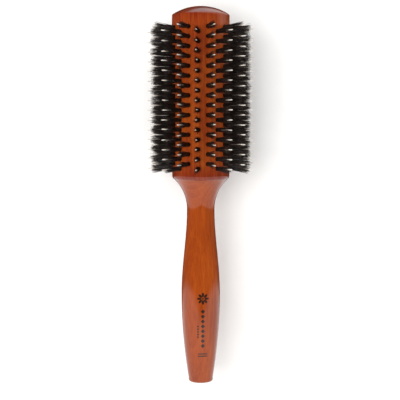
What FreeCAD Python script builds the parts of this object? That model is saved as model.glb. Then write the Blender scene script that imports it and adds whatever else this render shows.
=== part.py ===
import FreeCAD, Part
import math
import os

# Round barrel brush, lying on the tips of its pins as it does on a table.
# The brush's axis runs along Y, with the crown at +Y and the end of the handle at -Y.
# The origin is on the table, under the middle of the brush's length, and +Z is up.
# All sizes are in millimetres.

# ---- overall ----
brush_length = 250.0        # crown to the end of the handle
barrel_length = 114.2       # crown to the glued joint with the handle

# ---- barrel ----
barrel_diameter = 38.0
crown_dome_radius = 34.5    # the low dome that closes the barrel
crown_edge_round = 1.2
foot_step = 1.5             # how far the barrel's lower edge comes in to meet the handle
foot_height = 2.7           # length of that round-over along the axis

# ---- handle ----
flare_length = 19.8         # from the joint down to the neck
neck_diameter = 18.3
belly_diameter = 25.6       # the thickest part of the grip
belly_from_end = 60.3
end_diameter = 15.4         # at the end of the handle, before its edge is rounded
end_edge_round = 1.6

# ---- glued joint ----
tenon_diameter = 14.0
tenon_length = 30.0
tenon_chamfer = 1.0
glue_gap = 0.1              # film of glue round the tenon
glue_pocket = 1.5           # free depth past the end of the tenon

# ---- rows of tufts ----
row_count = 18
tuft_pitch = 6.35           # along a row; each row starts half a pitch from the one beside it
first_tuft_from_crown = 14.5
last_tuft_from_joint = 7.5  # at least; the rows hold as many tufts as fit

# ---- one tuft, its pin and its anchor ----
hole_diameter = 3.0
hole_depth = 8.0
bristle_height = 14.0       # above the barrel's side
tuft_splay = 0.6            # how much wider a tuft is at its tips than at its hole, each side
pin_proud = 2.5             # above the bristle tips
pin_diameter = 0.8
anchor_thickness = 0.35     # flat wire, standing on edge across the hole
anchor_height = 1.6
anchor_bite = 0.25          # how far each end is driven into the wood
fold_thickness = 0.7        # bristles folded under the anchor
packing_gap = 0.05          # between the bundle and its hole, its pin and its anchor

# ---- worked out from the above ----
row_step = 360.0 / row_count
field_length = barrel_length - first_tuft_from_crown - last_tuft_from_joint - tuft_pitch / 2
tufts_per_row = math.floor(field_length / tuft_pitch) + 1
barrel_radius = barrel_diameter / 2
foot_radius = barrel_radius - foot_step
neck_radius = neck_diameter / 2
belly_radius = belly_diameter / 2
end_radius = end_diameter / 2
hole_radius = hole_diameter / 2
pin_radius = pin_diameter / 2
bristle_tip = barrel_radius + bristle_height
pin_tip = bristle_tip + pin_proud
hole_bottom = barrel_radius - hole_depth
anchor_bottom = hole_bottom + fold_thickness
anchor_top = anchor_bottom + anchor_height
crown_y = brush_length / 2
end_y = -brush_length / 2
joint_y = crown_y - barrel_length
neck_y = joint_y - flare_length
belly_y = end_y + belly_from_end
# the two lowest rows stand half a step each side of straight down, on their rounded tips
axis_height = (pin_tip - pin_radius) * math.cos(math.radians(row_step / 2)) + pin_radius

ORIGIN = FreeCAD.Vector(0, 0, 0)
ALONG = FreeCAD.Vector(0, 1, 0)
OUTWARD = FreeCAD.Vector(0, 0, 1)


def line(start, end):
    """A straight edge between two (radius, place along the axis) points."""
    return Part.LineSegment(FreeCAD.Vector(*start, 0), FreeCAD.Vector(*end, 0)).toShape()


def arc(centre, radius, start, end):
    """A round edge about a (radius, place) centre, from start to end in degrees."""
    circle = Part.Circle(FreeCAD.Vector(*centre, 0), FreeCAD.Vector(0, 0, 1), radius)
    return Part.Arc(circle, math.radians(start), math.radians(end)).toShape()


def round_over(step, run):
    """The radius and sweep of an arc that starts parallel to the axis and moves out by step in run."""
    return (step**2 + run**2) / (2 * step), 2 * math.degrees(math.atan2(step, run))


def ease(start, end):
    """An S-shaped edge that leaves and arrives parallel to the axis."""
    third = (end[1] - start[1]) / 3
    curve = Part.BezierCurve()
    poles = [start, (start[0], start[1] + third), (end[0], end[1] - third), end]
    curve.setPoles([FreeCAD.Vector(*pole, 0) for pole in poles])
    return curve.toShape()


def turned(edges):
    """A piece turned about the brush's axis, with its seam midway between two rows."""
    wire = Part.Wire(Part.__sortEdges__(edges))
    solid = Part.Face(wire).revolve(ORIGIN, ALONG, 360)
    solid.rotate(ORIGIN, ALONG, row_step / 2)
    return solid


def filleted_at(solid, radius, place, size):
    """Round the edge that runs round the piece at this radius and place."""
    ring = [
        edge for edge in solid.Edges
        if not edge.Degenerated
        and isinstance(edge.Curve, Part.Circle)
        and abs(edge.Curve.Radius - radius) < 1e-3
        and abs(edge.Curve.Center.y - place) < 1e-3
    ]
    return solid.makeFillet(size, ring)


def placed(piece, row, tuft):
    """A copy of a tuft's piece, drawn along +Z from the axis, at its place in the field."""
    stagger = (row % 2) * tuft_pitch / 2
    place = crown_y - first_tuft_from_crown - stagger - tuft * tuft_pitch
    copy = piece.copy()
    copy.translate(ALONG * place)
    copy.rotate(ORIGIN, ALONG, row_step * (row + 0.5))
    return copy


def row_of(piece, row):
    """One row of separate copies of a tuft's piece."""
    return [placed(piece, row, tuft) for tuft in range(tufts_per_row)]


def anchor_blank(gap):
    """The flat wire across a hole, along the row, grown by a gap on its two faces and its edges."""
    length = hole_diameter + 2 * anchor_bite
    width = anchor_thickness + 2 * gap
    height = anchor_height + gap
    corner = FreeCAD.Vector(-width / 2, -length / 2, anchor_bottom - gap)
    return Part.makeBox(width, length, height, corner)


def hole_blank():
    """What is taken out of the barrel for one tuft: the drilled hole and the anchor's bite."""
    past = 2.0
    drill = Part.makeCylinder(hole_radius, hole_depth + past, OUTWARD * hole_bottom, OUTWARD)
    return drill.fuse(anchor_blank(0))


def make_barrel():
    """Turned wooden barrel, domed at the crown, drilled for the tufts and bored for the tenon."""
    dome_angle = math.degrees(math.asin(barrel_radius / crown_dome_radius))
    shoulder_y = crown_y - crown_dome_radius * (1 - math.cos(math.radians(dome_angle)))
    foot_round, foot_angle = round_over(foot_step, foot_height)
    foot_top = (barrel_radius, joint_y + foot_height)
    body = turned([
        line((0, joint_y), (foot_radius, joint_y)),
        arc((barrel_radius - foot_round, foot_top[1]), foot_round, -foot_angle, 0),
        line(foot_top, (barrel_radius, shoulder_y)),
        arc((0, crown_y - crown_dome_radius), crown_dome_radius, 90 - dome_angle, 90),
        line((0, crown_y), (0, joint_y)),
    ])
    body = filleted_at(body, barrel_radius, shoulder_y, crown_edge_round)
    socket_depth = tenon_length + glue_pocket
    socket = Part.makeCylinder(tenon_diameter / 2 + glue_gap, socket_depth, ALONG * joint_y, ALONG)
    blank = hole_blank()
    holes = [hole for row in range(row_count) for hole in row_of(blank, row)]
    return body.cut([socket] + holes)


def make_handle():
    """Turned wooden handle: tenon, flare, neck, grip and flat end in one piece."""
    flare_round, flare_angle = round_over(foot_radius - neck_radius, flare_length)
    grip_round, grip_angle = round_over(belly_radius - end_radius, belly_from_end)
    tenon_radius = tenon_diameter / 2
    tenon_end = joint_y + tenon_length
    body = turned([
        line((0, end_y), (end_radius, end_y)),
        arc((belly_radius - grip_round, belly_y), grip_round, -grip_angle, 0),
        ease((belly_radius, belly_y), (neck_radius, neck_y)),
        arc((neck_radius + flare_round, neck_y), flare_round, 180 - flare_angle, 180),
        line((foot_radius, joint_y), (tenon_radius, joint_y)),
        line((tenon_radius, joint_y), (tenon_radius, tenon_end - tenon_chamfer)),
        line((tenon_radius, tenon_end - tenon_chamfer), (tenon_radius - tenon_chamfer, tenon_end)),
        line((tenon_radius - tenon_chamfer, tenon_end), (0, tenon_end)),
        line((0, tenon_end), (0, end_y)),
    ])
    return filleted_at(body, end_radius, end_y, end_edge_round)


def make_tuft():
    """Bristles folded under the anchor, filling the hole and splaying above the barrel."""
    bundle = hole_radius - packing_gap
    bore = pin_radius + packing_gap
    outline = [
        (0, hole_bottom),
        (bundle, hole_bottom),
        (bundle, barrel_radius),
        (bundle + tuft_splay, bristle_tip),
        (bore, bristle_tip),
        (bore, anchor_top),
        (0, anchor_top),
        (0, hole_bottom),
    ]
    wire = Part.makePolygon([FreeCAD.Vector(across, 0, out) for across, out in outline])
    bundle_solid = Part.Face(wire).revolve(ORIGIN, OUTWARD, 360)
    return bundle_solid.cut(anchor_blank(packing_gap))


def make_pin():
    """Round nylon pin with a domed tip, standing on the anchor."""
    dome_centre = pin_tip - pin_radius
    shaft = Part.makeCylinder(pin_radius, dome_centre - anchor_top, OUTWARD * anchor_top, OUTWARD)
    dome = Part.makeSphere(pin_radius, OUTWARD * dome_centre, OUTWARD, 0, 90, 360)
    return shaft.fuse(dome)


def save(name, shape):
    """Stand the shape on the table and write it as one node."""
    shape.translate(FreeCAD.Vector(0, 0, axis_height))
    shape.exportStep(f"parts/{name}.step")


os.makedirs("parts", exist_ok=True)
save("barrel", make_barrel())
save("handle", make_handle())
for name, piece in (
    ("bristle", make_tuft()),
    ("pin", make_pin()),
    ("anchor", anchor_blank(0)),
):
    for row in range(row_count):
        save(f"{name}_row_{row + 1:02d}", Part.makeCompound(row_of(piece, row)))
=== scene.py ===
import math

import bmesh
import bpy
from mathutils import Matrix, Vector


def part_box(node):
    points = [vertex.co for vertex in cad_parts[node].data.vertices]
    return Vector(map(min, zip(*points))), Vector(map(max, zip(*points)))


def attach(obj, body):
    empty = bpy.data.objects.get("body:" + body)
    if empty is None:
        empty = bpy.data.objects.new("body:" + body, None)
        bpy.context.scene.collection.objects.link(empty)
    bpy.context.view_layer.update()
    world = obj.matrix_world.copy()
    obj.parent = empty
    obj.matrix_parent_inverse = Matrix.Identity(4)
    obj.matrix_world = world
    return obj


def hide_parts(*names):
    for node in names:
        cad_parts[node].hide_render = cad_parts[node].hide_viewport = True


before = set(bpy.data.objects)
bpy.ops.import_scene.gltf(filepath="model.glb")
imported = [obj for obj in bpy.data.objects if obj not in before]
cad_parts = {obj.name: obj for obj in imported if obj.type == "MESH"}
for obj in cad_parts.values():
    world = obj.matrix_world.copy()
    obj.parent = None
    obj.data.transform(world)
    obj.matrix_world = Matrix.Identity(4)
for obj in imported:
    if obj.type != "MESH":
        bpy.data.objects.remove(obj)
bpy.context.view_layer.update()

mm = 0.001


# ---- Handle ----
# One turning in beech: a tenon that is glued into the barrel, a wide flare, a slim neck, a
# swelling grip and a small flat end. It is stained orange-brown and dipped in clear lacquer.
handle_low, handle_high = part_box("handle")
barrel_low, barrel_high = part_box("barrel")
end_y = handle_low.y
joint_y = barrel_low.y
tenon_end_y = handle_high.y
crown_y = barrel_high.y
axis_z = (barrel_low.z + barrel_high.z) / 2
foot_radius = (handle_high.x - handle_low.x) / 2
neck_radius = 9.15 * mm
belly_radius = 12.8 * mm
end_radius = 7.7 * mm
end_edge = 1.6 * mm
flare_length = 19.8 * mm
belly_from_end = 60.3 * mm
tenon_radius = 7.0 * mm
tenon_chamfer = 1.0 * mm


def arc(centre, radius, start, stop, steps):
    """(radius, place) points of a round stretch about a centre, from start to stop in degrees."""
    angles = [math.radians(start + (stop - start) * i / steps) for i in range(steps + 1)]
    return [(centre[0] + radius * math.cos(a), centre[1] + radius * math.sin(a)) for a in angles]


def round_over(step, run):
    """Radius and sweep of an arc that starts along the axis and moves out by step in run."""
    return (step**2 + run**2) / (2 * step), 2 * math.degrees(math.atan2(step, run))


def ease(start, stop, steps):
    """(radius, place) points of an S-shaped stretch that starts and stops along the axis."""
    shares = [i / steps for i in range(steps + 1)]
    return [
        (start[0] + (stop[0] - start[0]) * s * s * (3 - 2 * s), start[1] + (stop[1] - start[1]) * s)
        for s in shares
    ]


def straight(start, stop, steps):
    """(radius, place) points of a straight stretch."""
    return [
        (start[0] + (stop[0] - start[0]) * i / steps, start[1] + (stop[1] - start[1]) * i / steps)
        for i in range(steps + 1)
    ]


def turned(name, outline, around):
    """A closed piece turned about the brush's axis; the outline's two ends lie on the axis."""
    mesh = bmesh.new()
    rings = []
    for radius, place in outline:
        steps = 1 if radius < 1e-7 else around
        angles = [2 * math.pi * i / around for i in range(steps)]
        rings.append([
            mesh.verts.new((radius * math.sin(a), place, axis_z + radius * math.cos(a)))
            for a in angles
        ])
    for ring, after in zip(rings, rings[1:]):
        for i in range(around):
            corners = [ring[i % len(ring)], ring[(i + 1) % len(ring)],
                       after[(i + 1) % len(after)], after[i % len(after)]]
            mesh.faces.new(dict.fromkeys(corners))
    bmesh.ops.recalc_face_normals(mesh, faces=mesh.faces)
    data = bpy.data.meshes.new(name)
    mesh.to_mesh(data)
    mesh.free()
    piece = bpy.data.objects.new(name, data)
    bpy.context.scene.collection.objects.link(piece)
    return piece


def smooth(piece):
    """Smooth shading, with the edges that turn sharply kept crisp."""
    sharp_above = 40            # degrees
    piece.data.shade_smooth()
    piece.data.set_sharp_from_angle(angle=math.radians(sharp_above))


def handle_outline():
    """Outline from the middle of the flat end, up the grip and flare, to the end of the tenon."""
    grip_round, grip_sweep = round_over(belly_radius - end_radius, belly_from_end)
    flare_round, flare_sweep = round_over(foot_radius - neck_radius, flare_length)
    belly_y = end_y + belly_from_end
    neck_y = joint_y - flare_length
    grip = arc((belly_radius - grip_round, belly_y), grip_round, -grip_sweep, 0, 40)
    grip = [point for point in grip if point[1] > end_y + end_edge]
    edge = arc((grip[0][0] - end_edge, end_y + end_edge), end_edge, -90, 0, 8)
    flare = arc((neck_radius + flare_round, neck_y), flare_round, 180, 180 - flare_sweep, 30)
    return (
        [(0, end_y)] + edge + grip
        + ease((belly_radius, belly_y), (neck_radius, neck_y), 40)[1:]
        + flare[1:]
        + [(tenon_radius, joint_y), (tenon_radius, tenon_end_y - tenon_chamfer),
           (tenon_radius - tenon_chamfer, tenon_end_y), (0, tenon_end_y)]
    )


def colour(code):
    """An sRGB hex value as the linear colour that a shader socket takes."""
    parts = [int(code[i:i + 2], 16) / 255 for i in (1, 3, 5)]
    return [p / 12.92 if p <= 0.04045 else ((p + 0.055) / 1.055)**2.4 for p in parts] + [1.0]


def add(tree, kind, settings=None, inputs=None):
    """Add a node with its settings, and give each named input a value or a link."""
    made = tree.nodes.new(kind)
    for name, value in (settings or {}).items():
        setattr(made, name, value)
    for name, value in (inputs or {}).items():
        if isinstance(value, bpy.types.NodeSocket):
            tree.links.new(value, made.inputs[name])
        else:
            made.inputs[name].default_value = value
    return made


def math_node(tree, operation, *values):
    """The result of one arithmetic step on values or sockets."""
    return add(tree, "ShaderNodeMath", {"operation": operation}, dict(enumerate(values))).outputs[0]


def ramp(tree, factor, stops):
    """A colour ramp through (place, hex) stops."""
    made = add(tree, "ShaderNodeValToRGB", inputs={"Fac": factor})
    elements = made.color_ramp.elements
    while len(elements) < len(stops):
        elements.new(0.5)
    for element, (place, code) in zip(elements, stops):
        element.position = place
        element.color = colour(code)
    return made.outputs["Color"]


def new_material(name):
    """An empty material with its surface shader."""
    made = bpy.data.materials.new(name)
    made.use_nodes = True
    return made, made.node_tree, made.node_tree.nodes["Principled BSDF"]


def lacquered_beech(name, stain, pith, shaded_ends=None):
    """Beech, turned, stained and lacquered: fine fibres and soft growth-ring bands run along the
    piece under a clear, nearly mirror-smooth coat. stain goes from the darkest band to the palest;
    pith is where the middle of the tree lay, in millimetres from the origin. The last argument,
    where given, is a middle and two distances from it along the piece, between which the colour
    goes darker and darker: painted shade at the piece's ends."""
    ring_width, ring_bend = 2.6, 5.0            # mm
    fibre_width, fibre_length = 0.45, 16.0      # mm; real beech fibres are too fine to show
    sway_width, sway_length = 30.0, 90.0        # mm, of the slow wander of the grain
    cloud_width, cloud_length = 14.0, 45.0      # mm, of the patches that took more or less stain
    coat_width, coat_length = 5.0, 18.0         # mm, of the slight waves in the lacquer
    ring_share, fibre_share, cloud_share = 0.07, 0.5, 0.43
    # painted shade at the piece's ends: how far down the stain's ramp the colour goes
    end_shade_depth = 0.16                        # along the stain's ramp
    made, tree, shader = new_material(name)
    place = add(tree, "ShaderNodeTexCoord").outputs["Object"]
    in_mm = add(tree, "ShaderNodeMapping", inputs={
        "Vector": place, "Scale": (1 / mm, 1 / mm, 1 / mm)}).outputs["Vector"]
    sway = add(tree, "ShaderNodeTexNoise", {"noise_dimensions": "3D"}, {
        "Vector": add(tree, "ShaderNodeMapping", inputs={
            "Vector": in_mm,
            "Scale": (1 / sway_width, 1 / sway_length, 1 / sway_width)}).outputs["Vector"],
        "Scale": 1.0, "Detail": 2.0}).outputs["Color"]
    swayed = add(tree, "ShaderNodeVectorMath", {"operation": "MULTIPLY_ADD"}, {
        0: sway, 1: (ring_bend, 0, ring_bend), 2: in_mm}).outputs["Vector"]
    from_pith = add(tree, "ShaderNodeMapping", inputs={
        "Vector": swayed, "Location": (-pith[0], 0, -pith[1])}).outputs["Vector"]
    # a wave texture of scale 1 repeats every 2 pi / 20
    rings = add(tree, "ShaderNodeTexWave", {
        "wave_type": "RINGS", "rings_direction": "Y", "wave_profile": "SAW"}, {
        "Vector": from_pith, "Scale": 2 * math.pi / (20 * ring_width),
        "Distortion": 1.2, "Detail": 2.0, "Detail Scale": 0.6}).outputs["Fac"]
    fibre_place = add(tree, "ShaderNodeMapping", inputs={
        "Vector": swayed, "Scale": (1 / fibre_width, 1 / fibre_length, 1 / fibre_width)})
    fibres = add(tree, "ShaderNodeTexNoise", inputs={
        "Vector": fibre_place.outputs["Vector"], "Scale": 1.0, "Detail": 4.0,
        "Roughness": 0.65}).outputs["Fac"]
    cloud = add(tree, "ShaderNodeTexNoise", inputs={
        "Vector": add(tree, "ShaderNodeMapping", inputs={
            "Vector": in_mm,
            "Scale": (1 / cloud_width, 1 / cloud_length, 1 / cloud_width)}).outputs["Vector"],
        "Scale": 1.0, "Detail": 3.0}).outputs["Fac"]
    figure = math_node(tree, "MULTIPLY_ADD", rings, ring_share, math_node(
        tree, "MULTIPLY_ADD", fibres, fibre_share, math_node(
            tree, "MULTIPLY", cloud, cloud_share)))
    # painted shade: the colour goes darker towards both ends of the piece
    if shaded_ends:
        middle, starts, full = shaded_ends
        along = add(tree, "ShaderNodeSeparateXYZ", inputs={0: in_mm}).outputs["Y"]
        darker = add(tree, "ShaderNodeMapRange", {"interpolation_type": "SMOOTHSTEP"}, {
            "Value": math_node(tree, "ABSOLUTE", math_node(tree, "SUBTRACT", along, middle)),
            "From Min": starts, "From Max": full, "To Max": end_shade_depth}).outputs["Result"]
        figure = math_node(tree, "SUBTRACT", figure, darker)
    tree.links.new(ramp(tree, figure, stain), shader.inputs["Base Color"])
    dull = add(tree, "ShaderNodeMapRange", inputs={
        "Value": fibres, "From Min": 0.3, "From Max": 0.7, "To Min": 0.34, "To Max": 0.5})
    tree.links.new(dull.outputs["Result"], shader.inputs["Roughness"])
    fibre_relief = add(tree, "ShaderNodeBump", inputs={
        "Height": fibres, "Strength": 0.08, "Distance": 0.05 * mm})
    tree.links.new(fibre_relief.outputs["Normal"], shader.inputs["Normal"])
    coat_waves = add(tree, "ShaderNodeTexNoise", inputs={
        "Vector": add(tree, "ShaderNodeMapping", inputs={
            "Vector": in_mm,
            "Scale": (1 / coat_width, 1 / coat_length, 1 / coat_width)}).outputs["Vector"],
        "Scale": 1.0, "Detail": 1.0}).outputs["Fac"]
    coat_relief = add(tree, "ShaderNodeBump", inputs={
        "Height": coat_waves, "Strength": 0.25, "Distance": 0.05 * mm})
    tree.links.new(coat_relief.outputs["Normal"], shader.inputs["Coat Normal"])
    shader.inputs["IOR"].default_value = 1.45
    shader.inputs["Specular IOR Level"].default_value = 0.1
    shader.inputs["Coat Weight"].default_value = 1.0
    shader.inputs["Coat Roughness"].default_value = 0.035
    shader.inputs["Coat IOR"].default_value = 1.47
    return made


def finished(piece, material, slot, *nodes):
    """Give a finished piece its material, hang it under the root body, and hide the CAD nodes that it
    stands in for.
    """
    piece.data.materials.clear()
    piece.data.materials.append(material)
    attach(piece, "root")
    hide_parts(*nodes)


handle = turned("handle_turned", handle_outline(), 128)
smooth(handle)
handle_wood = lacquered_beech(
    "beech_stained_orange_lacquered",
    [(0.3, "#6c2602"), (0.45, "#863403"), (0.56, "#953e04"), (0.7, "#a64d0a")],
    (38.0, -22.0))
finished(handle, handle_wood, "handle_wood", "handle")


# ---- Printed ornament ----
# A plain rosette over a column of lozenges, a shorter column of dots and two bars, printed in
# dark brown ink under the last coat of lacquer on the upper side of the grip.
ink_lift = 0.04 * mm
motif_x = 0.4 * mm
rosette_y = end_y + 57.6 * mm
rosette_radius = 2.5 * mm       # to the middle of a petal
petal_count = 8
petal_half_width = 0.8 * mm
petal_half_length = 1.5 * mm
heart_radius = 0.6 * mm
lozenge_top_y = end_y + 49.0 * mm
lozenge_step = 3.3 * mm
lozenge_count = 8
lozenge_half_width = 1.4 * mm
lozenge_half_height = 1.45 * mm
dots_x = motif_x - 3.2 * mm
dots_top_y = lozenge_top_y - 10.0 * mm
dot_step = 1.8 * mm
dot_count = 5
dot_radius = 0.6 * mm
bars_y = end_y + 20.0 * mm
bar_step = 1.5 * mm
bar_thickness = 0.7 * mm
bar_half_length = 3             # mm, and whole, because a bar has a corner at every millimetre


def oval(centre_x, centre_y, half_width, half_height, turn=0.0, sides=12):
    """The flat (x, y) outline of an oval, or of a lozenge if it has four sides."""
    outline = []
    for i in range(sides):
        a = 2 * math.pi * i / sides
        x = half_width * math.cos(a)
        y = half_height * math.sin(a)
        outline.append((centre_x + x * math.cos(turn) - y * math.sin(turn),
                        centre_y + x * math.sin(turn) + y * math.cos(turn)))
    return outline


def grip_surface(x, y):
    """The point on the upper side of the grip over (x, y), lifted by the ink's thickness."""
    drop = belly_radius - end_radius
    bend, _ = round_over(drop, belly_from_end)
    away = abs(y - (end_y + belly_from_end))
    radius = belly_radius - bend + math.sqrt(bend**2 - away**2) + ink_lift
    return x, y, axis_z + math.sqrt(radius**2 - x**2)


def printed(name, outlines):
    """One thin mesh that follows the grip closely, from flat outlines cut up small."""
    mesh = bmesh.new()
    for outline in outlines:
        mesh.faces.new([mesh.verts.new((x, y, 0)) for x, y in outline])
    bmesh.ops.triangulate(mesh, faces=mesh.faces)
    bmesh.ops.subdivide_edges(mesh, edges=mesh.edges, cuts=3, use_grid_fill=True)
    for corner in mesh.verts:
        corner.co = grip_surface(corner.co.x, corner.co.y)
    mesh.normal_update()
    data = bpy.data.meshes.new(name)
    mesh.to_mesh(data)
    mesh.free()
    piece = bpy.data.objects.new(name, data)
    bpy.context.scene.collection.objects.link(piece)
    return piece


def brown_ink():
    """Screen-printed dark brown ink: slightly thin in places, with lacquer over it."""
    made, tree, shader = new_material("ink_brown_printed")
    thin = add(tree, "ShaderNodeTexNoise", inputs={
        "Vector": add(tree, "ShaderNodeTexCoord").outputs["Object"],
        "Scale": 1 / (0.5 * mm), "Detail": 2.0}).outputs["Fac"]
    tree.links.new(ramp(tree, thin, [(0.3, "#1d0e07"), (0.75, "#38190a")]),
                   shader.inputs["Base Color"])
    dull = add(tree, "ShaderNodeMapRange", inputs={"Value": thin, "To Min": 0.4, "To Max": 0.6})
    tree.links.new(dull.outputs["Result"], shader.inputs["Roughness"])
    shader.inputs["Specular IOR Level"].default_value = 0.1
    shader.inputs["Coat Weight"].default_value = 1.0
    shader.inputs["Coat Roughness"].default_value = 0.035
    return made


petal_turns = [2 * math.pi * i / petal_count for i in range(petal_count)]
petals = [
    oval(motif_x + rosette_radius * math.cos(a), rosette_y + rosette_radius * math.sin(a),
         petal_half_width, petal_half_length, a - math.pi / 2)
    for a in petal_turns
]
heart = oval(motif_x, rosette_y, heart_radius, heart_radius)
lozenges = [
    oval(motif_x, lozenge_top_y - i * lozenge_step, lozenge_half_width, lozenge_half_height, sides=4)
    for i in range(lozenge_count)
]
dots = [oval(dots_x, dots_top_y - i * dot_step, dot_radius, dot_radius) for i in range(dot_count)]
bar_places = range(-bar_half_length, bar_half_length + 1)
bars = [
    [(motif_x + i * mm, y) for i in bar_places]
    + [(motif_x - i * mm, y + bar_thickness) for i in bar_places]
    for y in (bars_y, bars_y - bar_step)
]
ornament = printed("ornament_print", petals + [heart] + lozenges + dots + bars)
ornament.data.materials.append(brown_ink())
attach(ornament, "root")


# ---- Barrel ----
# A second turning in the same beech, with a low dome at the crown and an eased lower edge. It is
# bored for the tenon and drilled all round for the tufts, stained redder and lacquered over.
barrel_radius = (barrel_high.x - barrel_low.x) / 2
dome_radius = 34.5 * mm
crown_edge = 1.2 * mm
foot_height = 2.7 * mm
socket_radius = 7.1 * mm
socket_end_y = tenon_end_y + 1.5 * mm
row_count = 18
tufts_per_row = 15
tuft_pitch = 6.35 * mm
first_tuft_y = crown_y - 14.5 * mm
hole_radius = 1.5 * mm
hole_depth = 8.0 * mm
cells = 12                                  # faces across one hole's share of the barrel's side


def barrel_outline():
    """Outline from the end of the socket, round the foot and up the side, to the top of the crown."""
    foot_round, foot_sweep = round_over(barrel_radius - foot_radius, foot_height)
    inner = barrel_radius - crown_edge
    dome_centre = crown_y - dome_radius
    edge_centre = dome_centre + math.sqrt((dome_radius - crown_edge)**2 - inner**2)
    dome_start = math.degrees(math.atan2(edge_centre - dome_centre, inner))
    field_top = first_tuft_y + tuft_pitch / 2
    field_rows = int((tufts_per_row + 0.5) * cells)
    field_bottom = field_top - field_rows * tuft_pitch / cells
    return (
        [(0, socket_end_y), (socket_radius, socket_end_y), (socket_radius, joint_y)]
        + [(foot_radius, joint_y)]
        + arc((barrel_radius - foot_round, joint_y + foot_height), foot_round, -foot_sweep, 0, 10)[1:]
        + straight((barrel_radius, joint_y + foot_height), (barrel_radius, field_bottom), 4)[1:]
        + straight((barrel_radius, field_bottom), (barrel_radius, field_top), field_rows)[1:]
        + straight((barrel_radius, field_top), (barrel_radius, edge_centre), 4)[1:]
        + arc((inner, edge_centre), crown_edge, 0, dome_start, 8)[1:]
        + arc((0, dome_centre), dome_radius, dome_start, 90, 24)[1:-1]
        + [(0, crown_y)]
    )


def new_tree(name, inputs):
    """A Geometry Nodes tree with a geometry input and output and these named inputs."""
    tree = bpy.data.node_groups.new(name, "GeometryNodeTree")
    tree.interface.new_socket("Geometry", in_out="INPUT", socket_type="NodeSocketGeometry")
    tree.interface.new_socket("Geometry", in_out="OUTPUT", socket_type="NodeSocketGeometry")
    for label, kind in inputs.items():
        tree.interface.new_socket(label, in_out="INPUT", socket_type=f"NodeSocket{kind}")
    return tree, tree.nodes.new("NodeGroupInput").outputs, tree.nodes.new("NodeGroupOutput").inputs


def curve_of(tree, value, points):
    """A value looked up on straight stretches through (in, out) points, all from 0 to 1."""
    made = add(tree, "ShaderNodeFloatCurve", inputs={"Value": value})
    line = made.mapping.curves[0]
    while len(line.points) < len(points):
        line.points.new(0.5, 0.5)
    for point, place in zip(line.points, points):
        point.location = place
        point.handle_type = "VECTOR"
    made.mapping.update()
    return made.outputs["Value"]


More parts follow.
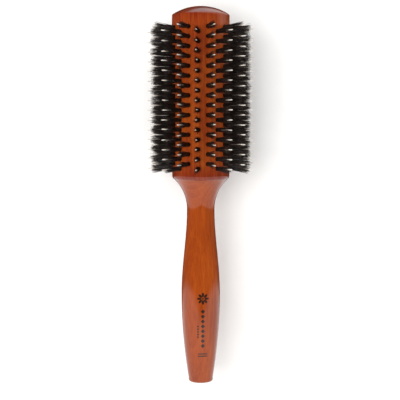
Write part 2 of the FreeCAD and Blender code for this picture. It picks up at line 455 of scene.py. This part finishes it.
def drilling_tree():
    """Moves the faces of each hole's share of the side into a round hole with an eased rim."""
    tree, given, result = new_tree("drill_tuft_holes", {
        "Rows": "Int", "Tufts": "Int", "Pitch": "Float", "Field Top": "Float",
        "Barrel Radius": "Float", "Axis Height": "Float", "Hole Radius": "Float",
        "Hole Depth": "Float"})
    place = add(tree, "ShaderNodeSeparateXYZ", inputs={
        0: add(tree, "GeometryNodeInputPosition").outputs[0]}).outputs
    up = math_node(tree, "SUBTRACT", place["Z"], given["Axis Height"])
    angle = math_node(tree, "ARCTAN2", place["X"], up)
    row_share = math_node(tree, "DIVIDE", 2 * math.pi, given["Rows"])
    across = math_node(tree, "DIVIDE", angle, row_share)
    row = math_node(tree, "FLOOR", across)
    odd = math_node(tree, "FLOORED_MODULO", row, 2.0)
    down = math_node(tree, "DIVIDE", math_node(
        tree, "SUBTRACT", given["Field Top"], place["Y"]), given["Pitch"])
    along = math_node(tree, "SUBTRACT", down, math_node(tree, "MULTIPLY", odd, 0.5))
    tuft = math_node(tree, "FLOOR", math_node(tree, "ADD", along, 1e-4))
    cell_x = math_node(tree, "SUBTRACT", math_node(tree, "SUBTRACT", across, row), 0.5)
    cell_y = math_node(tree, "SUBTRACT", math_node(tree, "SUBTRACT", along, tuft), 0.5)
    spread = math_node(tree, "MULTIPLY", 2.0, math_node(
        tree, "MAXIMUM", math_node(tree, "ABSOLUTE", cell_x), math_node(tree, "ABSOLUTE", cell_y)))
    length = math_node(tree, "MAXIMUM", 1e-6, math_node(tree, "SQRT", math_node(
        tree, "ADD", math_node(tree, "MULTIPLY", cell_x, cell_x),
        math_node(tree, "MULTIPLY", cell_y, cell_y))))
    # how far from the hole's middle, in hole radii, and how deep, as shares of the depth
    steps = cells / 2           # faces from a hole's middle to the edge of its share
    reach = 1.25                # hole radii that 1 on the curve stands for
    rim = 1.075                 # hole radii, where the eased rim meets the side
    rim_drop = 0.012            # share of the depth, how low the rim starts
    ring = math_node(tree, "MULTIPLY", reach, curve_of(tree, spread, [
        (0, 0), (2 / steps, 1 / reach), (3 / steps, 1 / reach), (4 / steps, rim / reach),
        (1, rim / reach)]))
    sunk = curve_of(tree, spread, [
        (0, 1), (2 / steps, 1), (3 / steps, rim_drop), (4 / steps, 0), (1, 0)])
    ring_size = math_node(tree, "MULTIPLY", ring, given["Hole Radius"])
    round_x = math_node(tree, "MULTIPLY", ring_size, math_node(tree, "DIVIDE", cell_x, length))
    round_y = math_node(tree, "MULTIPLY", ring_size, math_node(tree, "DIVIDE", cell_y, length))
    flat_x = math_node(tree, "MULTIPLY", given["Barrel Radius"], math_node(
        tree, "SINE", math_node(tree, "MULTIPLY", cell_x, row_share)))
    flat_y = math_node(tree, "MULTIPLY", cell_y, given["Pitch"])
    squareness = curve_of(tree, spread, [(0, 0), (4 / steps, 0), (5 / steps, 0.45), (1, 1)])
    moved_x = add(tree, "ShaderNodeMix", {"data_type": "FLOAT"}, {
        0: squareness, 2: round_x, 3: flat_x}).outputs[0]
    moved_y = add(tree, "ShaderNodeMix", {"data_type": "FLOAT"}, {
        0: squareness, 2: round_y, 3: flat_y}).outputs[0]
    # the hole's sides are parallel, so a corner keeps its distance from the hole's middle plane
    height = math_node(tree, "SUBTRACT", math_node(tree, "SQRT", math_node(
        tree, "SUBTRACT", math_node(tree, "MULTIPLY", given["Barrel Radius"], given["Barrel Radius"]),
        math_node(tree, "MULTIPLY", moved_x, moved_x))), math_node(
            tree, "MULTIPLY", sunk, given["Hole Depth"]))
    row_middle = math_node(tree, "MULTIPLY", row_share, math_node(tree, "ADD", row, 0.5))
    sine = math_node(tree, "SINE", row_middle)
    cosine = math_node(tree, "COSINE", row_middle)
    tuft_middle = math_node(tree, "MULTIPLY", given["Pitch"], math_node(
        tree, "ADD", math_node(tree, "ADD", tuft, 0.5), math_node(tree, "MULTIPLY", odd, 0.5)))
    new_place = add(tree, "ShaderNodeCombineXYZ", inputs={
        "X": math_node(tree, "MULTIPLY_ADD", height, sine, math_node(
            tree, "MULTIPLY", moved_x, cosine)),
        "Y": math_node(tree, "SUBTRACT", math_node(
            tree, "SUBTRACT", given["Field Top"], tuft_middle), moved_y),
        "Z": math_node(tree, "ADD", given["Axis Height"], math_node(
            tree, "SUBTRACT", math_node(tree, "MULTIPLY", height, cosine),
            math_node(tree, "MULTIPLY", moved_x, sine)))}).outputs[0]
    out = math_node(tree, "SQRT", math_node(
        tree, "ADD", math_node(tree, "MULTIPLY", place["X"], place["X"]),
        math_node(tree, "MULTIPLY", up, up)))
    on_side = math_node(tree, "GREATER_THAN", out, math_node(
        tree, "SUBTRACT", given["Barrel Radius"], 1e-5))
    not_above = math_node(tree, "GREATER_THAN", tuft, -0.5)
    not_below = math_node(tree, "LESS_THAN", tuft, math_node(
        tree, "SUBTRACT", given["Tufts"], 0.5))
    drilled = math_node(tree, "MULTIPLY", on_side, math_node(
        tree, "MULTIPLY", not_above, not_below))
    moved = add(tree, "GeometryNodeSetPosition", inputs={
        "Geometry": given["Geometry"], "Selection": drilled, "Position": new_place})
    tree.links.new(moved.outputs["Geometry"], result["Geometry"])
    return tree


def set_inputs(piece, tree, values):
    """Put a Geometry Nodes tree on a piece and set its named inputs."""
    modifier = piece.modifiers.new(tree.name, "NODES")
    modifier.node_group = tree
    for item in tree.interface.items_tree:
        if item.in_out == "INPUT" and item.name in values:
            modifier[item.identifier] = values[item.name]


def made_plain(piece):
    """Turn the piece's evaluated result into its own plain mesh."""
    evaluated = piece.evaluated_get(bpy.context.evaluated_depsgraph_get())
    result = bpy.data.meshes.new_from_object(evaluated)
    piece.modifiers.clear()
    piece.data = result
    result.name = piece.name


barrel = turned("barrel_turned", barrel_outline(), row_count * cells)
set_inputs(barrel, drilling_tree(), {
    "Rows": row_count, "Tufts": tufts_per_row, "Pitch": tuft_pitch,
    "Field Top": first_tuft_y + tuft_pitch / 2, "Barrel Radius": barrel_radius,
    "Axis Height": axis_z, "Hole Radius": hole_radius, "Hole Depth": hole_depth})
made_plain(barrel)
smooth(barrel)
# the last value below gives the barrel's two ends painted shade
barrel_wood = lacquered_beech(
    "beech_stained_red_brown_lacquered",
    [(0.3, "#6c1b03"), (0.45, "#8c3408"), (0.56, "#a0460d"), (0.7, "#b35614")],
    (-44.0, 15.0), ((crown_y + joint_y) / 2 / mm, 44.0, 56.0))
finished(barrel, barrel_wood, "barrel_wood", "barrel")


# ---- Anchors ----
# Short lengths of flat brass wire at the bottom of the holes. Each is driven in on edge over the
# fold of its tuft, and its two ends bite into the wood. They are bare drawn metal.
def drawn_brass():
    """Drawn brass wire: fine lines along the wire and a slightly dulled yellow."""
    line_width = 0.04       # mm
    made, tree, shader = new_material("brass_drawn_wire")
    place = add(tree, "ShaderNodeTexCoord").outputs["Object"]
    lines = add(tree, "ShaderNodeTexNoise", inputs={
        "Vector": add(tree, "ShaderNodeMapping", inputs={
            "Vector": place,
            "Scale": (1 / (line_width * mm), 1 / mm, 1 / (line_width * mm))}).outputs["Vector"],
        "Scale": 1.0}).outputs["Fac"]
    tree.links.new(ramp(tree, lines, [(0.3, "#a8842f"), (0.7, "#d3b25c")]),
                   shader.inputs["Base Color"])
    dull = add(tree, "ShaderNodeMapRange", inputs={
        "Value": lines, "To Min": 0.25, "To Max": 0.45})
    tree.links.new(dull.outputs["Result"], shader.inputs["Roughness"])
    shader.inputs["Metallic"].default_value = 1.0
    return made


brass = drawn_brass()
row_names = [f"{row + 1:02d}" for row in range(row_count)]
for number in row_names:
    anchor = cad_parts[f"anchor_row_{number}"]
    for slot in anchor.material_slots:
        slot.material = brass


# ---- Bristle tufts ----
# Boar bristle, dyed near black: 72 stiff hairs to a tuft, packed tight in their hole and splaying
# a little above the barrel, with a slightly uneven cut. Each starts at the bottom of the hole, and
# the fold that a real tuft has there isn't modelled.
bristle_height = 14.0 * mm
bristle_cut = 0.6 * mm          # how far the middle of the cut lies below that height
bristle_spread = 1.2 * mm       # the uneven cut, either way
bristle_stray = 1.5 * mm        # the most that chance adds to a hair's lean, each way
bristle_radius = 0.13 * mm
bundle_radius = 1.28 * mm
pin_radius = 0.4 * mm           # the pin that takes up the middle of the tuft
splay_across = 0.25 * mm        # how far the outermost hairs lean round the barrel
splay_along = 0.9 * mm          # and along it
end_lean = 0.5 * mm             # the first and last tufts of a row lean outwards
hairs_per_tuft = 72
floor_gap = 0.1 * mm            # between the bottom of the hole and the hairs
bristle_seed = 11


def strand_tree(name, sides, rings, profile):
    """Stands strands in a row of holes. Each leaves its hole straight, then bends to its own tip.
    profile gives the strand's thickness along its length."""
    tree, given, result = new_tree(name, {
        "Tufts": "Int", "Strands": "Int", "First Place": "Float", "Pitch": "Float",
        "Bundle Radius": "Float", "Core Share": "Float", "Hole Bottom": "Float",
        "Hole Top": "Float", "Tip": "Float",
        "Tip Spread": "Float", "Splay Across": "Float", "Splay Along": "Float",
        "Stray": "Float", "End Lean": "Float", "Strand Radius": "Float", "Row Turn": "Float",
        "Axis Height": "Float", "Seed": "Int", "Material": "Material"})
    index = add(tree, "GeometryNodeInputIndex").outputs[0]
    tuft = math_node(tree, "FLOOR", math_node(
        tree, "DIVIDE", math_node(tree, "ADD", index, 0.5), given["Strands"]))
    strand = math_node(tree, "SUBTRACT", index, math_node(
        tree, "MULTIPLY", tuft, given["Strands"]))
    # strands fill the hole evenly round its core, in a sunflower spiral turned from tuft to tuft
    golden_angle = math.pi * (3 - math.sqrt(5))
    tuft_turn = 1.7             # radians, from one tuft's spiral to the next
    filled = math_node(tree, "DIVIDE", math_node(tree, "ADD", strand, 0.5), given["Strands"])
    out = math_node(tree, "SQRT", math_node(
        tree, "ADD", given["Core Share"], math_node(
            tree, "MULTIPLY", filled, math_node(tree, "SUBTRACT", 1.0, given["Core Share"]))))
    turn = math_node(tree, "ADD", math_node(tree, "MULTIPLY", strand, golden_angle),
                     math_node(tree, "MULTIPLY", tuft, tuft_turn))
    side_x = math_node(tree, "MULTIPLY", out, math_node(tree, "COSINE", turn))
    side_y = math_node(tree, "MULTIPLY", out, math_node(tree, "SINE", turn))
    tuft_y = math_node(tree, "SUBTRACT", given["First Place"], math_node(
        tree, "MULTIPLY", tuft, given["Pitch"]))
    root = add(tree, "ShaderNodeCombineXYZ", inputs={
        "X": math_node(tree, "MULTIPLY", side_x, given["Bundle Radius"]),
        "Y": math_node(tree, "ADD", tuft_y, math_node(
            tree, "MULTIPLY", side_y, given["Bundle Radius"])),
        "Z": given["Hole Bottom"]}).outputs[0]
    last = math_node(tree, "SUBTRACT", given["Tufts"], 1.0)
    first_end = math_node(tree, "LESS_THAN", tuft, 0.5)
    last_end = math_node(tree, "GREATER_THAN", tuft, math_node(tree, "SUBTRACT", last, 0.5))
    lean = math_node(tree, "MULTIPLY", given["End Lean"], math_node(
        tree, "SUBTRACT", first_end, last_end))
    # a cubed draw is mostly small, so few strands stray far
    draw = add(tree, "FunctionNodeRandomValue", {"data_type": "FLOAT_VECTOR"}, {
        0: (-1, -1, -1), 1: (1, 1, 1), "Seed": given["Seed"]}).outputs[0]
    squared = add(tree, "ShaderNodeVectorMath", {"operation": "MULTIPLY"}, {0: draw, 1: draw})
    cubed = add(tree, "ShaderNodeVectorMath", {"operation": "MULTIPLY"}, {
        0: squared.outputs[0], 1: draw})
    height = add(tree, "ShaderNodeSeparateXYZ", inputs={0: draw}).outputs["Z"]
    stray = add(tree, "ShaderNodeSeparateXYZ", inputs={0: cubed.outputs[0]}).outputs
    bend = add(tree, "ShaderNodeCombineXYZ", inputs={
        "X": math_node(tree, "ADD", math_node(tree, "MULTIPLY", side_x, given["Splay Across"]),
                       math_node(tree, "MULTIPLY", stray["X"], given["Stray"])),
        "Y": math_node(tree, "ADD", lean, math_node(
            tree, "ADD", math_node(tree, "MULTIPLY", side_y, given["Splay Along"]),
            math_node(tree, "MULTIPLY", stray["Y"], given["Stray"]))),
        "Z": math_node(tree, "ADD", given["Tip"], math_node(
            tree, "SUBTRACT", math_node(tree, "MULTIPLY", height, given["Tip Spread"]),
            given["Hole Bottom"]))}).outputs[0]
    points = add(tree, "GeometryNodePoints", inputs={
        "Count": math_node(tree, "MULTIPLY", given["Tufts"], given["Strands"]),
        "Position": root}).outputs[0]
    points = add(tree, "GeometryNodeStoreNamedAttribute", {
        "data_type": "FLOAT_VECTOR", "domain": "POINT"}, {
        "Geometry": points, "Name": "bend", "Value": bend}).outputs[0]
    line = add(tree, "GeometryNodeResampleCurve", inputs={
        "Curve": add(tree, "GeometryNodeCurvePrimitiveLine", inputs={
            "Start": (0, 0, 0), "End": (0, 0, 1)}).outputs[0],
        "Count": rings}).outputs[0]
    strands = add(tree, "GeometryNodeInstanceOnPoints", inputs={
        "Points": points, "Instance": line}).outputs[0]
    strands = add(tree, "GeometryNodeRealizeInstances", inputs={"Geometry": strands}).outputs[0]
    share = add(tree, "GeometryNodeSplineParameter").outputs["Factor"]
    stored = add(tree, "ShaderNodeSeparateXYZ", inputs={0: add(
        tree, "GeometryNodeInputNamedAttribute", {"data_type": "FLOAT_VECTOR"}, {
            "Name": "bend"}).outputs[0]}).outputs
    held = math_node(tree, "DIVIDE", math_node(
        tree, "SUBTRACT", given["Hole Top"], given["Hole Bottom"]), stored["Z"])
    free = math_node(tree, "MAXIMUM", 0.0, math_node(
        tree, "DIVIDE", math_node(tree, "SUBTRACT", share, held),
        math_node(tree, "SUBTRACT", 1.0, held)))
    bend_power = 1.35           # above 1, so a strand leaves its hole straight
    bent = math_node(tree, "POWER", free, bend_power)
    strands = add(tree, "GeometryNodeSetPosition", inputs={
        "Geometry": strands, "Offset": add(tree, "ShaderNodeCombineXYZ", inputs={
            "X": math_node(tree, "MULTIPLY", bent, stored["X"]),
            "Y": math_node(tree, "MULTIPLY", bent, stored["Y"]),
            "Z": math_node(tree, "MULTIPLY", share, math_node(
                tree, "SUBTRACT", stored["Z"], 1.0))}).outputs[0]}).outputs[0]
    strands = add(tree, "GeometryNodeStoreNamedAttribute", {
        "data_type": "FLOAT", "domain": "POINT"}, {
        "Geometry": strands, "Name": "from_hole", "Value": free}).outputs[0]
    surface = add(tree, "GeometryNodeCurveToMesh", inputs={
        "Curve": strands, "Scale": math_node(
            tree, "MULTIPLY", given["Strand Radius"], curve_of(tree, share, profile)),
        "Profile Curve": add(tree, "GeometryNodeCurvePrimitiveCircle", inputs={
            "Resolution": sides, "Radius": 1.0}).outputs[0],
        "Fill Caps": True}).outputs[0]
    surface = add(tree, "GeometryNodeTransform", inputs={
        "Geometry": surface,
        "Translation": add(tree, "ShaderNodeCombineXYZ", inputs={
            "Z": given["Axis Height"]}).outputs[0],
        "Rotation": add(tree, "ShaderNodeCombineXYZ", inputs={
            "Y": given["Row Turn"]}).outputs[0]}).outputs[0]
    surface = add(tree, "GeometryNodeRealizeInstances", inputs={"Geometry": surface}).outputs[0]
    surface = add(tree, "GeometryNodeSetMaterial", inputs={
        "Geometry": surface, "Material": given["Material"]}).outputs[0]
    tree.links.new(surface, result["Geometry"])
    return tree


def boar_bristle():
    """Dyed boar bristle: near black with a soft shine, and browner towards the tips."""
    made, tree, shader = new_material("boar_bristle_dyed")
    along = add(tree, "ShaderNodeAttribute", {"attribute_name": "from_hole"}).outputs["Fac"]
    place = add(tree, "ShaderNodeTexCoord").outputs["Object"]
    patches = add(tree, "ShaderNodeTexNoise", inputs={
        "Vector": place, "Scale": 1 / (1.2 * mm), "Detail": 2.0}).outputs["Fac"]
    shade = math_node(tree, "MULTIPLY_ADD", patches, 0.55, math_node(
        tree, "MULTIPLY", math_node(tree, "POWER", along, 4.0), 0.3))
    tree.links.new(ramp(tree, shade, [
        (0.15, "#14110f"), (0.35, "#27201c"), (0.6, "#3e342e"), (0.85, "#65544a")]),
        shader.inputs["Base Color"])
    dull = add(tree, "ShaderNodeMapRange", inputs={
        "Value": patches, "To Min": 0.3, "To Max": 0.55})
    tree.links.new(dull.outputs["Result"], shader.inputs["Roughness"])
    shader.inputs["IOR"].default_value = 1.55
    return made


def strand_row(name, tree, row, values):
    """One row of strands as a plain mesh, turned to its place round the barrel."""
    piece = bpy.data.objects.new(name, bpy.data.meshes.new(name))
    bpy.context.scene.collection.objects.link(piece)
    set_inputs(piece, tree, {
        "Tufts": tufts_per_row, "First Place": first_tuft_y - (row % 2) * tuft_pitch / 2,
        "Pitch": tuft_pitch, "Hole Top": barrel_radius, "Axis Height": axis_z,
        "Row Turn": 2 * math.pi * (row + 0.5) / row_count, **values})
    made_plain(piece)
    piece.data.shade_smooth()
    return piece


bristle = boar_bristle()
bristle_tree = strand_tree(
    "bristle_row", 3, 7, [(0, 1), (0.75, 1), (0.93, 0.75), (1, 0.3)])
for row, number in enumerate(row_names):
    hairs = strand_row(f"bristles_{number}", bristle_tree, row, {
        "Strands": hairs_per_tuft, "Bundle Radius": bundle_radius,
        "Core Share": ((pin_radius + bristle_radius) / bundle_radius)**2,
        "Hole Bottom": barrel_radius - hole_depth + floor_gap,
        "Tip": barrel_radius + bristle_height - bristle_cut,
        "Tip Spread": bristle_spread, "Splay Across": splay_across, "Splay Along": splay_along,
        "Stray": bristle_stray, "End Lean": end_lean, "Strand Radius": bristle_radius,
        "Seed": bristle_seed + row, "Material": bristle})
    finished(hairs, bristle, "bristle", f"bristle_row_{number}")


# ---- Pins ----
# One round nylon pin in the middle of each tuft, thicker and longer than the bristles and domed
# at its tip. The nylon is uncoloured, so it is milky white. Few of them stand quite straight.
pin_proud = 2.5 * mm
pin_spread = 0.15 * mm          # how much the pins differ in height, either way
pin_stray = 0.6 * mm            # the most that chance adds to a pin's lean, each way
pin_seed = 101
anchor_top = barrel_radius - 5.7 * mm


def natural_nylon():
    """Uncoloured nylon: milky, smooth from the die, with light spreading a little inside it."""
    made, tree, shader = new_material("nylon_natural")
    place = add(tree, "ShaderNodeTexCoord").outputs["Object"]
    clouds = add(tree, "ShaderNodeTexNoise", inputs={
        "Vector": place, "Scale": 1 / (3 * mm), "Detail": 2.0}).outputs["Fac"]
    tree.links.new(ramp(tree, clouds, [(0.3, "#cdc4b8"), (0.7, "#e6e0d8")]),
                   shader.inputs["Base Color"])
    dull = add(tree, "ShaderNodeMapRange", inputs={
        "Value": clouds, "To Min": 0.22, "To Max": 0.36})
    tree.links.new(dull.outputs["Result"], shader.inputs["Roughness"])
    shader.inputs["IOR"].default_value = 1.53
    shader.inputs["Subsurface Weight"].default_value = 0.3
    shader.inputs["Subsurface Radius"].default_value = (0.8 * mm, 0.7 * mm, 0.6 * mm)
    shader.inputs["Subsurface Scale"].default_value = 1.0
    return made


nylon = natural_nylon()
pin_tree = strand_tree(
    "pin_row", 10, 24, [(0, 1), (0.978, 1), (0.99, 0.8), (1, 0.35)])
for row, number in enumerate(row_names):
    pins = strand_row(f"pins_{number}", pin_tree, row, {
        "Strands": 1, "Bundle Radius": 0.0, "Hole Bottom": anchor_top,
        "Tip": barrel_radius + bristle_height + pin_proud - pin_spread, "Tip Spread": pin_spread,
        "Splay Across": 0.0, "Splay Along": 0.0, "Stray": pin_stray, "End Lean": end_lean / 2,
        "Strand Radius": pin_radius, "Seed": pin_seed + row, "Material": nylon})
    finished(pins, nylon, "pin", f"pin_row_{number}")


# ---- Table top ----
# A plain white studio sweep, which the brush lies on.
def sweep_card():
    """Matt white card with a very faint unevenness."""
    made, tree, shader = new_material("card_matt_white")
    place = add(tree, "ShaderNodeTexCoord").outputs["Object"]
    mottle = add(tree, "ShaderNodeTexNoise", inputs={
        "Vector": place, "Scale": 1 / (25 * mm), "Detail": 3.0}).outputs["Fac"]
    tree.links.new(ramp(tree, mottle, [(0.2, "#f1f0ee"), (0.8, "#f6f5f3")]),
                   shader.inputs["Base Color"])
    shader.inputs["Roughness"].default_value = 0.9
    return made


table_half = 3.0
table_mesh = bpy.data.meshes.new("table_top")
table_mesh.from_pydata(
    [(-table_half, -table_half, 0), (table_half, -table_half, 0),
     (table_half, table_half, 0), (-table_half, table_half, 0)], [], [(0, 1, 2, 3)])
table = bpy.data.objects.new("table_top", table_mesh)
table_mesh.materials.append(sweep_card())
bpy.context.scene.collection.objects.link(table)
table.visible_glossy = False


# ---- Studio ----
# Even white surroundings and a soft key from above on the left light the brush. A separate
# surround, which only reflections see, shapes the highlights. The camera looks down on the brush
# from over its barrel, a little to the left.
def soft_box(name, place, aim, size, power):
    """A square area light that faces a point and isn't mirrored in the lacquer."""
    lamp = bpy.data.lights.new(name, "AREA")
    lamp.size = size
    lamp.energy = power
    holder = bpy.data.objects.new(name, lamp)
    holder.location = place
    holder.rotation_euler = (Vector(aim) - Vector(place)).to_track_quat("-Z", "Y").to_euler()
    holder.visible_glossy = False
    bpy.context.scene.collection.objects.link(holder)


def studio_walls():
    """What the lacquer mirrors: white beyond the foot and the crown, dark and warm elsewhere."""
    foot_side_pull, foot_from, foot_full = 0.2, 0.26, 0.36      # for a heading of length 1
    crown_slant, crown_from, crown_full = 0.6, 0.62, 0.8
    made = bpy.data.materials.new("studio_walls")
    made.use_nodes = True
    tree = made.node_tree
    tree.nodes.clear()
    heading = add(tree, "ShaderNodeSeparateXYZ", inputs={
        0: add(tree, "ShaderNodeVectorMath", {"operation": "NORMALIZE"}, {
            0: add(tree, "ShaderNodeTexCoord").outputs["Object"]}).outputs[0]}).outputs
    foot_wall = add(tree, "ShaderNodeMapRange", {"interpolation_type": "SMOOTHSTEP"}, {
        "Value": math_node(tree, "SUBTRACT", math_node(
            tree, "MULTIPLY", math_node(tree, "ABSOLUTE", heading["X"]), foot_side_pull), heading["Y"]),
        "From Min": foot_from, "From Max": foot_full}).outputs["Result"]
    crown_wall = add(tree, "ShaderNodeMapRange", {"interpolation_type": "SMOOTHSTEP"}, {
        "Value": math_node(tree, "MULTIPLY_ADD", heading["X"], crown_slant, heading["Y"]),
        "From Min": crown_from, "From Max": crown_full}).outputs["Result"]
    glow = add(tree, "ShaderNodeEmission", inputs={
        "Color": ramp(tree, math_node(tree, "MAXIMUM", foot_wall, crown_wall),
                      [(0, "#63392a"), (1, "#ffffff")]),
        "Strength": 1.1})
    add(tree, "ShaderNodeOutputMaterial", inputs={"Surface": glow.outputs[0]})
    return made


walls_mesh = bpy.data.meshes.new("studio_walls")
ball = bmesh.new()
bmesh.ops.create_uvsphere(ball, u_segments=64, v_segments=32, radius=2.5)
ball.to_mesh(walls_mesh)
ball.free()
walls_mesh.materials.append(studio_walls())
walls = bpy.data.objects.new("studio_walls", walls_mesh)
bpy.context.scene.collection.objects.link(walls)
walls.visible_camera = walls.visible_diffuse = walls.visible_shadow = False
walls.visible_transmission = False
world = bpy.data.worlds.new("studio_white")
world.use_nodes = True
world.node_tree.nodes["Background"].inputs["Color"].default_value = colour("#ffffff")
world.node_tree.nodes["Background"].inputs["Strength"].default_value = 1.0
bpy.context.scene.world = world
soft_box("key_left", (-0.42, 0.05, 0.85), (0, 0, axis_z), 0.6, 5.6)

camera_place = Vector((-0.066, 0.050, axis_z + 0.777))
aim_point = Vector((-0.0005, -0.0030, axis_z))
camera = bpy.data.objects.new("camera", bpy.data.cameras.new("camera"))
camera.data.sensor_width = 36.0
camera.data.lens = 105.6
back = (camera_place - aim_point).normalized()
right = Vector((0, 1, 0)).cross(back).normalized()
up = back.cross(right)
camera.matrix_world = Matrix((right, up, back)).transposed().to_4x4()
camera.location = camera_place
bpy.context.scene.collection.objects.link(camera)
bpy.context.scene.camera = camera
bpy.context.scene.view_settings.view_transform = "Standard"
